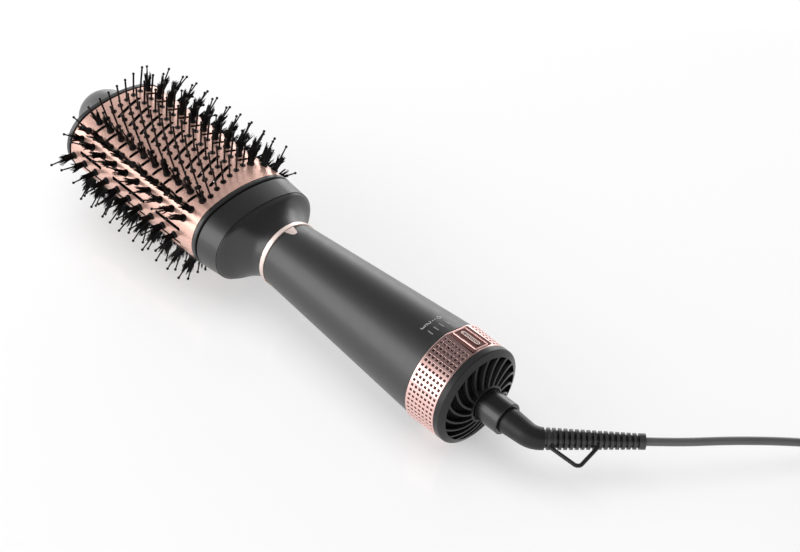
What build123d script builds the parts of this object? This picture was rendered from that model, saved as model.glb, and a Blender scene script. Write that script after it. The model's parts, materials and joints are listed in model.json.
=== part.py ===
from build123d import *
import os
from math import asin, atan2, cos, degrees, hypot, pi, radians, sin, sqrt, tan

# Oval hot-air styling brush, in millimetres.
# It is drawn in its own product frame: X runs along the product's axis from the head (-X) to the
# cord end (+X), with x = 0 at the rear cap's rim, and Z is square to the flat side of the head.
# At the end every piece is laid on the table, resting on the pins and the selector ring.

# ---------------------------------------------------------------- driving dimensions
# barrel: an oval of four tangent arcs
BARREL_HALF_WIDTH = 34.8
BARREL_HALF_HEIGHT = 22.8
SIDE_ARC_FROM = 16.0        # degrees off the flat side where the narrow side's arc takes over
BARREL_X = (-289.8, -179.4)
BARREL_WALL = 0.8

# pins and tufts
ROW_COUNT = 10
ROW_PITCH = 10.3
FACE_ROW_Y = (-15.5, -9.8, -3.9, 1.9, 7.8, 13.8)
FACE_LAST_X = -189.9        # last pin of a row at y = 0
FACE_SKEW = -0.295          # how far the last pin moves in x for each mm of y
PIN_PLANE = 37.3            # every ball tip on a flat side reaches this height
# side rows of the near side: degrees round from the flat side's normal, and x of the last tuft
NEAR_ROWS = ((17, -186.5), (38, -188.3), (55, -190.0), (90, -194.0),
             (132, -186.5), (147, -190.2), (165, -193.2))
TUFT_LENGTH = 11.7
TUFT_PIN_LENGTH = 15.5
BALL_R = 0.8
STRIP_WIDTH = 3.4
STRIP_THICK = 1.2
STRIP_DEPTH = 1.0           # top of a carrier strip below the barrel's surface
STRIP_END = 2.2             # how far a strip runs past its end pins
LEDGE_DEPTH = STRIP_DEPTH + STRIP_THICK + 0.2
# air slots of a flat side, one of each kind between two pin columns: x from the column's place, y,
# angle of the surface there, length, width, and the slot's run in x and y
FACE_SLOTS = ((-194.75, -1.1, -0.9, 21.8, 2.2, (-7.1, 20.6)), (-192.2, -20.4, -22, 10.6, 2.0, (-2.6, -10.2)),
              (-198.9, 17.8, 18, 8.0, 2.0, (1.1, 8.1)))
# air slots of a narrow side
SIDE_SLOT_X = ((-281.0, -261.0), (-250.6, -221.0), (-211.4, -189.8))
SIDE_SLOT_ANGLE = (-75.5, -101.5)
SIDE_SLOT_WIDTH = 2.1

# collar and neck
LIP_X = -176.4
GROOVE_X = -174.8
SHOULDER_X = -160.9
NECK_END_X = -142.3
COLLAR_BORE = (31.4, 20.2)
BAND_END = (33.3, 22.1)     # the collar's band at the shoulder, a little proud of the neck
# outer sections of the neck: x, half width, half height
NECK_SECTIONS = ((-160.9, 32.9, 21.75), (-159.3, 31.6, 21.5), (-157.5, 27.8, 21.1), (-154.0, 22.9, 19.6),
                 (-149.0, 19.1, 18.3), (-145.4, 18.0, 17.9), (-142.3, 17.9, 17.9))
NECK_WALL = 1.6
SPIGOT_END_X = -127.0
SPIGOT_R = 16.4
CLAMP_Y = 24.0              # the four collar screws
CLAMP_Z = 10.3
TIE_ROD_R = 2.0
SPIDER_X = (-174.0, -172.0)
FLANGE_X = (-172.0, -170.0)

# end cap and cool tip
END_CAP_X = -294.2
END_GROOVE_X = -291.0       # the end plate's inner edge, with a groove from there to the barrel
END_GROOVE_DEPTH = 0.6
TIP_R = 18.0
TIP_HEIGHT = 24.9

# handle: a straight taper
HANDLE_X = (-139.1, -22.1)
HANDLE_R = (18.63, 26.86)
HANDLE_WALL = 2.0
TRIM_X = (-142.3, -139.1)
TRIM_R = (19.08, 19.35)
SHELF_X = -33.0             # where the thick cord end of the grip's wall starts
SCREW_R = 1.0
BOSS_CENTRE_R = 22.2

# heater, motor and fan
BOARD_X = (-124.0, -76.0)
WINDING_X = (-119.0, -86.0)
DUCT_R = (19.0, 20.1)
CUP_R = (12.0, 13.3)
MOTOR_X = (-72.0, -46.0)
FAN_X = (-44.0, -34.0)

# selector ring and rear cap
RING_X = (-21.85, -3.31)
RING_R = (27.8, 27.15)
RING_BORE_R = 25.85
CARRIER_R = 25.55
CARRIER_BORE_R = 24.0
SELECTOR_REST = 13.5        # degrees from the flat side's normal towards +Y
SELECTOR_STEP = 8.0
TRAVEL = 3 * SELECTOR_STEP
FACET_HALF_ANGLE = 16.0
DRUM_X = (-17.0, -11.0)     # the drum inside the carrier, keyed to the ring
DRUM_R = (23.7, 21.8)
KEY_HALF = 4.0              # degrees
STOP_SLACK = 0.8            # degrees
CAP_X = -3.05
CAP_R = 27.15
REST_RIM = (-0.2, CAP_R - 0.05)     # x and radius of the rim that stands on the table
DOME_R = 55.0               # the rear cap is a shallow dome
DOME_EDGE = (0.8, 26.2)     # where the dome meets the cap's rounded edge
DOME_WALL = 2.0
SLOT_R = (10.3, 23.7)
RIB_COUNT = 19
RIB_WIDTH = 1.1
SWIRL_PHASE = -2.6

# cord boss, swivel and strain relief
BOSS_R = 8.72
BOSS_END_X = 20.64
STEM_R = 5.6
NECK_OF_ELBOW_R = 6.75
CORNER_X = 36.8
RELIEF_TURN = 46.5          # degrees from the product's axis towards +Y
RELIEF_DROP = 1.5           # degrees that the relief points below the product's XY plane
RELIEF_START = 4.1          # from the elbow's corner
RELIEF_LENGTH = 49.7
RELIEF_R = (5.45, 3.95)     # at the root and at the tip
RELIEF_CORE_R = 2.75
RELIEF_ROOT = (1.3, 6.0, 4.4)       # start, end and radius of the thick core under the first fins
RELIEF_COLLAR = 46.6        # start of the end collar
FIN_START = 2.6
FIN_COUNT = 16
FIN_PITCH = 2.75
FIN_THICK = 1.45
WEB_TURN = 50.2             # degrees from the loop's plane to the two webs that join the fins
WEB_WIDTH = 3.0
LOOP_WIRE_R = 1.0
# the hanging loop in its plane: distance from the relief's axis, and along it
LOOP_POINTS = ((3.0, 1.6), (17.5, 16.5), (3.0, 27.9))

# the free cord
CORD_R = 2.1                # the lead is 1.8 m long: its stretches here and the turns of the coil
RELIEF_BORE_R = CORD_R + 0.05
# route of the lead on the table, from inside the strain relief to the outer turn of the coil
LEAD_ROUTE = ((190.64, 34.68, 22.53), (205.74, 50.63, 21.34), (219.1, 68.3, 19.9), (233.5, 86.4, 17.5),
              (246.1, 103.3, 13.4), (258.0, 118.2, 7.6), (268.7, 130.1, 2.8), (278.6, 139.8, 2.15))
COIL_CENTRE = (300.1, 117.8)
COIL_TURN_R = (19.7, 30.75) # centrelines of the inner and the outer turn
COIL_LAYERS = 4
TIE_WIDTH = 8.0
TIE_THICK = 1.0
# from the coil's top outer turn to the plug
TAIL_ROUTE = ((330.85, 117.8, 14.7), (331.3, 107.8, 14.4), (332.9, 97.8, 13.15), (333.1, 87.8, 13.0))
PLUG_FACE = (36.5, 26.0)
PLUG_RELIEF = 20.0
PLUG_TAPER = 14.0
PLUG_BODY = 35.0
PLUG_PIN_R = 2.4
PLUG_SHANK_R = 2.0          # the pin's root, in the body and just in front of its face
PLUG_SHANK_OUT = 0.6
PLUG_PIN_LENGTH = 19.0
PLUG_PIN_SPACING = 19.0


# ---------------------------------------------------------------- shapes
def arc_radii(half_width, half_height):
    s = sin(radians(SIDE_ARC_FROM))
    c = cos(radians(SIDE_ARC_FROM))
    flat_r = (half_height - c * half_width / (1 - s)) / ((1 - c) - c * s / (1 - s))
    side_r = (half_width - flat_r * s) / (1 - s)
    return flat_r, side_r


def oval(x, half_width, half_height):
    """Face across the product's axis: four tangent arcs."""
    flat_r, _ = arc_radii(half_width, half_height)
    y = flat_r * sin(radians(SIDE_ARC_FROM))
    z = half_height - flat_r * (1 - cos(radians(SIDE_ARC_FROM)))
    top = ThreePointArc((y, z), (0, half_height), (-y, z))
    left = ThreePointArc((-y, z), (-half_width, 0), (-y, -z))
    bottom = ThreePointArc((-y, -z), (0, -half_height), (y, -z))
    right = ThreePointArc((y, -z), (half_width, 0), (y, z))
    return Plane.YZ.offset(x) * make_face([top, left, bottom, right])


def oval_block(x0, x1, half_width, half_height):
    return extrude(oval(x0, half_width, half_height), x1 - x0)


def oval_tube(x0, x1, half_width, half_height, wall):
    bore = oval_block(x0, x1, half_width - wall, half_height - wall)
    return oval_block(x0, x1, half_width, half_height) - bore


def surface(x, angle):
    """Plane on the barrel's surface, angle degrees from +Z towards +Y, its Z along the normal."""
    flat_r, side_r = arc_radii(BARREL_HALF_WIDTH, BARREL_HALF_HEIGHT)
    side = 1 if angle >= 0 else -1
    a = abs(angle)
    f = radians(a)
    if a <= SIDE_ARC_FROM:
        y, z = flat_r * sin(f), BARREL_HALF_HEIGHT - flat_r + flat_r * cos(f)
    elif a < 180 - SIDE_ARC_FROM:
        y, z = BARREL_HALF_WIDTH - side_r + side_r * sin(f), side_r * cos(f)
    else:
        y, z = flat_r * sin(f), flat_r - BARREL_HALF_HEIGHT + flat_r * cos(f)
    return Plane(origin=(x, side * y, z), x_dir=(1, 0, 0), z_dir=(0, side * sin(f), cos(f)))


def turned(*points):
    """Solid of revolution about the product's axis from (x, radius) points."""
    return revolve(make_face(Polyline(*points, close=True)), Axis.X)


def tube(x0, x1, outer, inner):
    return turned((x0, inner), (x1, inner), (x1, outer), (x0, outer))


def rod(x0, x1, radius, y=0.0, z=0.0):
    """Cylinder along X."""
    return Pos((x0 + x1) / 2, y, z) * Rot(0, 90, 0) * Cylinder(radius, x1 - x0)


def block(x0, x1, y0, y1, z0, z1):
    return Pos((x0 + x1) / 2, (y0 + y1) / 2, (z0 + z1) / 2) * Box(x1 - x0, y1 - y0, z1 - z0)


def around(shape, count, start=0.0, sweep=360.0):
    """Copies of a shape about the product's axis."""
    return [Rot(start + sweep * i / count, 0, 0) * shape for i in range(count)]


def handle_radius(x):
    return HANDLE_R[0] + (HANDLE_R[1] - HANDLE_R[0]) * (x - HANDLE_X[0]) / (HANDLE_X[1] - HANDLE_X[0])


# ---------------------------------------------------------------- head
def pin_profile(length):
    """Ball-tip pin with its round foot, standing on z = 0, the barrel's surface."""
    foot_r, shaft_r = 1.6, 0.55
    ball_z = length - BALL_R
    neck_z = ball_z - sqrt(BALL_R**2 - shaft_r**2)
    foot = Polyline((0, -STRIP_DEPTH - 0.3), (foot_r, -STRIP_DEPTH - 0.3), (foot_r, 0.35), (shaft_r, 0.35),
                    (shaft_r, neck_z))
    ball = ThreePointArc((shaft_r, neck_z), (BALL_R, ball_z), (0, length))
    axis = Line((0, length), (0, -STRIP_DEPTH - 0.3))
    return foot, ball, axis


def tuft_profile():
    """Flared bristle tuft round a long ball-tip pin."""
    foot_r, flare_r, shaft_r = 2.1, 2.5, 0.5
    ball_z = TUFT_PIN_LENGTH - BALL_R
    neck_z = ball_z - sqrt(BALL_R**2 - shaft_r**2)
    foot = Polyline((0, -STRIP_DEPTH - 0.3), (foot_r, -STRIP_DEPTH - 0.3), (foot_r, 1.0),
                    (flare_r, TUFT_LENGTH), (shaft_r, TUFT_LENGTH), (shaft_r, neck_z))
    ball = ThreePointArc((shaft_r, neck_z), (BALL_R, ball_z), (0, TUFT_PIN_LENGTH))
    axis = Line((0, TUFT_PIN_LENGTH), (0, -STRIP_DEPTH - 0.3))
    return foot, ball, axis


def stand(profile):
    return revolve(Plane.XZ * make_face(profile), Axis.Z)


def comb(one, last_x, angle):
    """Carrier strip inside the wall, with ten pins or tufts standing on it."""
    strip = Pos(-(ROW_COUNT - 1) * ROW_PITCH / 2, 0, -STRIP_DEPTH - STRIP_THICK / 2) * Box(
        (ROW_COUNT - 1) * ROW_PITCH + 2 * STRIP_END, STRIP_WIDTH, STRIP_THICK)
    standing = [Pos(-i * ROW_PITCH, 0, 0) * one for i in range(ROW_COUNT)]
    return surface(last_x, angle) * strip.fuse(*standing)


def row_angle(y):
    return degrees(asin(y / arc_radii(BARREL_HALF_WIDTH, BARREL_HALF_HEIGHT)[0]))


def pin_reach(y):
    """Length of the pins of a face row, so that their tips reach the common plane."""
    angle = row_angle(y)
    return (PIN_PLANE - surface(0, angle).origin.Z) / cos(radians(angle))


def face_row(y):
    return comb(stand(pin_profile(pin_reach(y))), FACE_LAST_X + FACE_SKEW * y, row_angle(y))


def holes(radius, last_x, angle):
    return [surface(last_x - i * ROW_PITCH, angle) * Cylinder(radius, 8) for i in range(ROW_COUNT)]


def slot_cutter(x, y, angle, length, width, turn):
    """Rounded slot through the wall, turned from the product's axis in the surface."""
    place = surface(x, angle)
    place = Plane(origin=(x, y, place.origin.Z), x_dir=(1, 0, 0), z_dir=place.z_dir)
    return place * Rot(0, 0, turn) * extrude(SlotOverall(length, width), 6, both=True)


def half_turn(shape):
    return Rot(180, 0, 0) * shape


def barrel_shell():
    body = oval_tube(*BARREL_X, BARREL_HALF_WIDTH, BARREL_HALF_HEIGHT, BARREL_WALL)
    cutters = []
    for y in FACE_ROW_Y:
        cutters += holes(1.7, FACE_LAST_X + FACE_SKEW * y, row_angle(y))
    for angle, last_x in NEAR_ROWS:
        cutters += holes(2.2, last_x, -angle)
    for x, y, angle, length, width, run in FACE_SLOTS:
        turn = degrees(atan2(run[1], run[0]))
        for i in range(ROW_COUNT - 1):
            cutters.append(slot_cutter(x - i * ROW_PITCH, y, angle, length, width, turn))
    for x0, x1 in SIDE_SLOT_X:
        slot = extrude(SlotOverall(x1 - x0, SIDE_SLOT_WIDTH), 6, both=True)
        cutters += [surface((x0 + x1) / 2, angle) * slot for angle in SIDE_SLOT_ANGLE]
    return body.cut(*cutters, *[half_turn(c) for c in cutters])


def inset_block(x0, x1, inset):
    """Block in the barrel's outline, inset from its outer surface."""
    return oval_block(x0, x1, BARREL_HALF_WIDTH - inset, BARREL_HALF_HEIGHT - inset)


def end_cap():
    """Oval end plate, a groove between it and the barrel, a plug and a ledge inside the barrel."""
    rim = BARREL_X[0]
    plate = oval_block(END_CAP_X, END_GROOVE_X, BARREL_HALF_WIDTH + 0.35, BARREL_HALF_HEIGHT + 0.1)
    plate = fillet(plate.edges().group_by(Axis.X)[0], 1.2)
    groove = inset_block(END_GROOVE_X - 0.5, rim, END_GROOVE_DEPTH)
    plug = inset_block(rim - 0.5, rim + 0.7, BARREL_WALL + 0.05)
    ledge = inset_block(rim - 0.5, rim + 3.8, LEDGE_DEPTH)
    hollow = inset_block(rim, rim + 5, LEDGE_DEPTH + 1.4)
    hub = rod(rim - 0.5, rim + 4.6, 5)
    snap = tube(END_CAP_X - 3.5, END_CAP_X + 0.5, 15.9, 14.3)
    return plate + groove + plug + ledge - hollow + hub + snap - rod(END_CAP_X - 5, rim + 8, TIE_ROD_R + 0.05)


def cool_tip():
    """Hollow rounded cap: radius against height is a superellipse, drawn through six of its points."""
    power = 2.41

    def curve(radius, height, foot):
        steps = [radians(90 * i / 6) for i in range(7)]
        points = [(foot - height * sin(s)**(2 / power), radius * cos(s)**(2 / power)) for s in steps]
        points[-1] = (foot - height, 0)
        return Spline(*points, tangents=[(-1, 0), (0, -1)])

    outer = curve(TIP_R, TIP_HEIGHT, END_CAP_X)
    inner = curve(TIP_R - 2, TIP_HEIGHT - 2, END_CAP_X)
    rim = Line((END_CAP_X, TIP_R - 2), (END_CAP_X, TIP_R))
    axis = Line((END_CAP_X - TIP_HEIGHT, 0), (END_CAP_X - TIP_HEIGHT + 2, 0))
    return revolve(make_face([outer, axis, inner, rim]), Axis.X)


def tip_nut():
    hexagon = Plane.YZ.offset(END_CAP_X - 3.2) * RegularPolygon(4.2, 6)
    return extrude(hexagon, 3.2) - rod(END_CAP_X - 4, END_CAP_X + 1, TIE_ROD_R)


def clamp_places():
    return [(y, z) for y in (-CLAMP_Y, CLAMP_Y) for z in (-CLAMP_Z, CLAMP_Z)]


def barrel_spider():
    body = oval_tube(*SPIDER_X, COLLAR_BORE[0] - 0.1, COLLAR_BORE[1] - 0.1, 5.3) + rod(-178, SPIDER_X[1], 5)
    arms = block(*SPIDER_X, -27, 27, -1.4, 1.4) + block(*SPIDER_X, -1.4, 1.4, -16, 16)
    body = body + arms - rod(-179, -171, TIE_ROD_R)
    return body.cut(*[rod(-175, -171, 1.25, y, z) for y, z in clamp_places()])


def head_collar():
    lip = oval_block(BARREL_X[1], LIP_X, 35.05, 23.0)
    lip = fillet(lip.edges().filter_by(GeomType.CIRCLE), 0.7)
    groove = oval_block(LIP_X - 0.5, GROOVE_X + 0.5, 33.5, 21.6)
    band = loft([oval(GROOVE_X, 34.75, 22.75), oval(SHOULDER_X, *BAND_END)])
    plug = inset_block(-182.6, BARREL_X[1] + 0.5, BARREL_WALL + 0.05)
    ledge = inset_block(-187.6, -182, LEDGE_DEPTH)
    body = lip + groove + band + plug + ledge
    body = body - oval_block(-188, -178, 30.5, 18.5) - oval_block(-178.1, SHOULDER_X + 1, *COLLAR_BORE)
    flange = oval_tube(*FLANGE_X, COLLAR_BORE[0] + 0.5, COLLAR_BORE[1] + 0.5, 6)
    return (body + flange).cut(*[rod(-173, -169, 1.25, y, z) for y, z in clamp_places()])


def neck_flare():
    outer = loft([oval(*section) for section in NECK_SECTIONS])
    inner = loft([oval(x - 1.3, a - NECK_WALL, b - NECK_WALL) for x, a, b in NECK_SECTIONS])
    mouth = rod(NECK_END_X - 3, SPIGOT_END_X, 14.6)
    plug = oval_tube(FLANGE_X[1], SHOULDER_X + 0.5, COLLAR_BORE[0] - 0.1, COLLAR_BORE[1] - 0.1, 1.8)
    spigot = rod(NECK_END_X - 0.5, SPIGOT_END_X, SPIGOT_R)
    bosses = [rod(FLANGE_X[1], SHOULDER_X + 0.4, 3.0, y, z) for y, z in clamp_places()]
    room = oval_block(FLANGE_X[1], SHOULDER_X + 2, COLLAR_BORE[0] - 0.1, COLLAR_BORE[1] - 0.1)
    bosses = [boss & room for boss in bosses]
    body = outer.cut(inner) + plug + spigot - mouth
    body = body.fuse(*bosses)
    return body.cut(*[rod(-171, SHOULDER_X - 0.8, 1.2, y, z) for y, z in clamp_places()])


def collar_screws():
    screws = []
    for y, z in clamp_places():
        head = rod(-175.8, -174, 2.3, y, z) - block(-176, -175.2, y - 2, y + 2, z - 0.3, z + 0.3)
        screws.append(head + rod(-174, SHOULDER_X - 1.2, 1.2, y, z))
    return Compound(screws)


# ---------------------------------------------------------------- handle
def tongue_blank(x_end, over, under):
    """Tongue of the trim ring, lying in the handle's skin."""
    half_root, half_tip = 2.8, 1.3
    x0 = TRIM_X[1] - 0.6
    x1 = x_end + 1
    half = [(x0, half_root), (TRIM_X[1] + 0.6, half_root), (x_end - 1.2, half_tip + 0.4),
            (x_end, half_tip - 0.5)]
    outline = make_face(Polyline(*half, *[(x, -y) for x, y in reversed(half)], close=True))
    skin = turned((x0, handle_radius(TRIM_X[1]) - under), (x1, handle_radius(x1) - under),
                  (x1, handle_radius(x1) + over), (x0, handle_radius(TRIM_X[1]) + over))
    return Rot(1, 0, 0) * (extrude(outline, 30) & skin)


def neck_trim_ring():
    x0, x1 = TRIM_X
    ring = turned((x0, SPIGOT_R), (x1, SPIGOT_R), (x1, TRIM_R[1] - 0.3), (x1 - 0.3, TRIM_R[1]),
                  (x0 + 0.4, TRIM_R[0]), (x0, TRIM_R[0] - 0.4))
    return ring + tongue_blank(-133.4, 0.3, 0.6)


def selector_tick(i):
    angle = SELECTOR_REST - SELECTOR_STEP * i
    r = handle_radius(-28.6)
    mark = Pos(-28.6, 0, r - 0.2) * Rot(0, -4, 0) * Box(3.4, 0.5, 0.6)
    return Rot(-angle, 0, 0) * mark


def tick_marks():
    skin = turned((-35, 20), (-23, 20), (-23, handle_radius(-23) + 0.06), (-35, handle_radius(-35) + 0.06))
    return Compound([selector_tick(i) & skin for i in range(4)])


def handle_shell():
    x0, x1 = HANDLE_X
    wall = HANDLE_WALL
    shell = turned((x0, SPIGOT_R + 0.05), (-126, SPIGOT_R + 0.05), (-125, handle_radius(-125) - wall),
                   (SHELF_X, handle_radius(SHELF_X) - wall), (SHELF_X, 24.2), (x1, 24.2),
                   (x1, HANDLE_R[1]), (x0, HANDLE_R[0]))
    post = rod(-46, SHELF_X, 1.9, 0, BOSS_CENTRE_R)
    keep = turned((-47, 0), (-30, 0), (-30, handle_radius(-30) - 0.8), (-47, handle_radius(-47) - 0.8))
    shell = shell.fuse(*around(post & keep, 3, 60))
    shell = shell.cut(*around(rod(-43, -30, SCREW_R, 0, BOSS_CENTRE_R), 3, 60))
    shell = shell - tongue_blank(-133.4, 2, 0.6)
    return shell.cut(*[selector_tick(i) for i in range(4)])


def heater_sleeve():
    return tube(SPIGOT_END_X, -76.0, 15.6, 14.9)


def mica_board(slot_at_head):
    """Heater board in the XZ plane, waisted where the winding goes, with a half-lap slot."""
    half, waist, thick = 14.8, 11.4, 0.8
    sheet = block(*BOARD_X, -thick / 2, thick / 2, -half, half)
    for side in (-1, 1):
        sheet -= block(*WINDING_X, -1, 1, min(side * waist, side * 20), max(side * waist, side * 20))
    middle = sum(BOARD_X) / 2
    end = BOARD_X[0] if slot_at_head else BOARD_X[1]
    x0, x1 = sorted((end, middle))
    return sheet - block(x0, x1, -1, 1, -thick / 2 - 0.05, thick / 2 + 0.05)


def heater_coil():
    """Resistance wire wound square over the four edges of the crossed boards."""
    turns, advance, reach = 7, 1.1, 12.6
    quarter = [radians(90 * i) for i in range(4 * turns + 1)]
    path = [(WINDING_X[0] + 1.5 + advance * i, reach * sin(q), reach * cos(q)) for i, q in enumerate(quarter)]
    wire = FilletPolyline(*path, radius=1.0)
    return sweep(Plane(origin=wire @ 0, z_dir=wire % 0) * Circle(0.4), path=wire)


def thermostat():
    body = Pos(-81, 7, 0.4 + 1.5) * Cylinder(4.2, 3.0)
    return body + Pos(-81, 7, 0.4 + 3.2) * Cylinder(3.2, 0.8)


def thermal_fuse():
    return rod(-85.5, -77.5, 1.3, -7, 1.7)


def fan_shroud():
    wall = turned((-77.5, 15.65), (-76, 15.65), (-68, DUCT_R[0]), (SHELF_X + 1.5, DUCT_R[0]),
                  (SHELF_X + 1.5, 23.9), (SHELF_X, 23.9), (SHELF_X, DUCT_R[1]), (-70, DUCT_R[1]),
                  (-77.5, 17.0))
    cup = tube(-71, -50, CUP_R[1], CUP_R[0])
    vane = block(-67, -55, -0.6, 0.6, CUP_R[1] - 0.3, DUCT_R[0] + 0.3)
    body = wall.fuse(cup, *around(vane, 7))
    return body.cut(*around(rod(-34, -30, SCREW_R + 0.1, 0, BOSS_CENTRE_R), 3, 60))


def motor_can():
    can = tube(MOTOR_X[0] + 1.5, MOTOR_X[1], CUP_R[0], 11.0)
    face = tube(MOTOR_X[1] - 1.0, MOTOR_X[1], 11.4, 1.2)
    return can + face


def motor_end_bell():
    bell = tube(MOTOR_X[0], MOTOR_X[0] + 1.5, CUP_R[0], 1.2)
    step = tube(MOTOR_X[0] + 1.5, MOTOR_X[0] + 3.5, 10.95, 9.6)
    tabs = [block(MOTOR_X[0] - 3, MOTOR_X[0], y0, y0 + 3, -0.4, 0.4) for y0 in (-8, 5)]
    return (bell + step).fuse(*tabs)


def motor_shaft():
    shaft = rod(MOTOR_X[0] - 1.5, -33.4, 1.15)
    core = rod(-66, -51, 9.6)
    slot = block(-66.5, -50.5, -0.7, 0.7, 6.5, 11)
    commutator = rod(-69, -66, 4)
    return core.cut(*around(slot, 5)) + shaft + commutator


def fan_wheel():
    hub = turned((FAN_X[0], 1.15), (FAN_X[1], 1.15), (FAN_X[1], 6.0), (FAN_X[1] - 2.5, 9.0), (FAN_X[0], 9.0))
    blade = Pos(sum(FAN_X) / 2 - 0.4, 0, 13.3) * Rot(0, 0, 38) * Box(8.6, 1.0, 9.6)
    return hub.fuse(*around(blade & rod(FAN_X[0], FAN_X[1] - 0.8, 18.2), 9))


# ---------------------------------------------------------------- selector and electrical parts
def sector(x0, x1, outer, inner, from_angle, to_angle):
    """Part of a tube between two angles from +Z towards +Y."""
    face = make_face(Polyline((x0, inner), (x1, inner), (x1, outer), (x0, outer), close=True))
    upright = Rot(90 - from_angle, 0, 0) * face
    return revolve(upright, Axis.X, revolution_arc=-(to_angle - from_angle))


def rear_carrier():
    sleeve = turned((-31.5, 20.5), (-30.0, 20.5), (-30.0, 22.9), (-21.5, 22.9), (-21.0, CARRIER_BORE_R),
                    (CAP_X, CARRIER_BORE_R), (CAP_X, CARRIER_R), (HANDLE_X[1], CARRIER_R), (HANDLE_X[1], 24.15),
                    (-31.5, 24.15))
    window = sector(DRUM_X[0] + 0.7, DRUM_X[1] - 0.7, CARRIER_R + 1, CARRIER_BORE_R - 1,
                    SELECTOR_REST - TRAVEL - KEY_HALF - STOP_SLACK, SELECTOR_REST + KEY_HALF + STOP_SLACK)
    rails = [block(-29, -19, y0, y0 + 3, -20, -16.8) for y0 in (-13, 10)]
    posts = [sector(-21.5, -18.2, CARRIER_BORE_R + 0.4, 21.6, a, a + 4) for a in (74, 102)]
    body = sleeve.fuse(*rails, *posts)
    return body.cut(window, *around(rod(-32, -29, SCREW_R + 0.1, 0, BOSS_CENTRE_R), 3, 60))


def carrier_screws():
    screw = rod(-30.0, -28.4, 1.9, 0, BOSS_CENTRE_R - 1.2) + rod(-41, -29.5, SCREW_R, 0, BOSS_CENTRE_R)
    screw &= rod(-42, -28, 22.85)
    return Compound(around(screw - block(-29, -28, -2, 2, BOSS_CENTRE_R - 1.5, BOSS_CENTRE_R - 0.9), 3, 60))


def selector_ring():
    ring = turned((RING_X[0], RING_BORE_R), (RING_X[1], RING_BORE_R), (RING_X[1], RING_R[1] - 0.3),
                  (RING_X[1] - 0.3, RING_R[1]), (RING_X[0] + 0.3, RING_R[0]), (RING_X[0], RING_R[0] - 0.3))
    flat = RING_R[0] * cos(radians(FACET_HALF_ANGLE)) + 0.12
    facet = block(RING_X[0] - 1, RING_X[1] + 1, -12, 12, flat, flat + 5)
    frame = block(-20.0, -5.2, -4.2, 4.2, flat - 0.3, flat + 0.6)
    pocket = block(-19.2, -6.0, -3.4, 3.4, flat - 0.35, flat + 1)
    ring = ring - Rot(-SELECTOR_REST, 0, 0) * facet
    ring = ring + Rot(-SELECTOR_REST, 0, 0) * frame - Rot(-SELECTOR_REST, 0, 0) * pocket
    key = sector(DRUM_X[0] + 1.2, DRUM_X[1] - 1.2, 26.55, 25, SELECTOR_REST - 2.7, SELECTOR_REST + 2.7)
    return ring - key


def selector_pointer():
    flat = RING_R[0] * cos(radians(FACET_HALF_ANGLE)) + 0.12
    pill = Pos(-12.6, 0, flat - 0.35) * extrude(SlotOverall(12.0, 2.6), 1.05)
    hollow = Pos(-12.6, 0, flat + 0.45) * extrude(SlotOverall(11.0, 1.6), 1.0)
    return Rot(-SELECTOR_REST, 0, 0) * (pill - hollow)


def selector_drum():
    body = tube(*DRUM_X, *DRUM_R)
    key = sector(DRUM_X[0] + 1.2, DRUM_X[1] - 1.2, 26.4, DRUM_R[0] - 0.5,
                 SELECTOR_REST - 2.6, SELECTOR_REST + 2.6)
    notch = sector(DRUM_X[0] - 1, DRUM_X[0] + 0.6, 24, 21, 90 - 1.6, 90 + 1.6)
    return body.cut(*[Rot(-SELECTOR_STEP * i, 0, 0) * notch for i in range(4)]) + key


def detent_spring():
    leaf = sector(-18.2, -17.8, 23.5, 21.9, 75, 105)
    bump = Rot(-90, 0, 0) * Pos(-17.8, 0, 22.7) * Cylinder(0.5, 1.5)
    return leaf + (bump & block(-17.9, -17, 20, 25, -2, 2))


def control_board():
    return block(-29.5, -9.5, -13, 13, -16.8, -15.2)


def selector_switch():
    body = block(-17, -11, -3, 3, -20.4, -16.8)
    fingers = block(-15.8, -15.2, -2, 2, -21.2, -20.3) + block(-12.8, -12.2, -2, 2, -21.2, -20.3)
    return body + fingers


def capacitor():
    return fillet(block(-28.5, -19.5, -12, -1, -15.2, -8.5).edges().filter_by(Axis.Z), 0.8)


def rectifier():
    return chamfer(block(-28, -20, 2, 10, -15.2, -12.6).edges().group_by(Axis.Z)[-1], 0.5)


def ion_generator():
    return fillet(block(-29.5, -21.5, 14.5, 22.1, -5, 5).edges().filter_by(Axis.X), 0.6)


# ---------------------------------------------------------------- rear cap
def dome_x(radius, inset=0.0):
    centre_x = DOME_EDGE[0] - sqrt(DOME_R**2 - DOME_EDGE[1]**2)
    return centre_x + sqrt((DOME_R - inset)**2 - radius**2)


def dome_layer(outer_r, inner_r, top_inset, bottom_inset):
    """Shell between two depths under the dome's surface."""
    def arc(inset, r0, r1):
        middle = (r0 + r1) / 2
        return ThreePointArc((dome_x(r0, inset), r0), (dome_x(middle, inset), middle), (dome_x(r1, inset), r1))
    top = arc(top_inset, outer_r, inner_r)
    bottom = arc(bottom_inset, inner_r, outer_r)
    return revolve(make_face([top, Line(top @ 1, bottom @ 0), bottom, Line(bottom @ 1, top @ 0)]), Axis.X)


def swirl_rib():
    """Face of a rib that leaves the hub almost radially and leans over towards the rim."""
    def at(radius, angle):
        return (radius * sin(radians(angle)), radius * cos(radians(angle)))
    return trace(ThreePointArc(at(9.6, -0.5), at(17.2, 11.5), at(24.4, 29.2)), RIB_WIDTH)


def swirl_slots():
    slots = Circle(SLOT_R[1]) - Circle(SLOT_R[0])
    for i in range(RIB_COUNT):
        slots -= Rot(0, 0, SWIRL_PHASE - 360 * i / RIB_COUNT) * swirl_rib()
    return extrude(Plane.YZ.offset(-2.5) * slots, 12)


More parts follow.
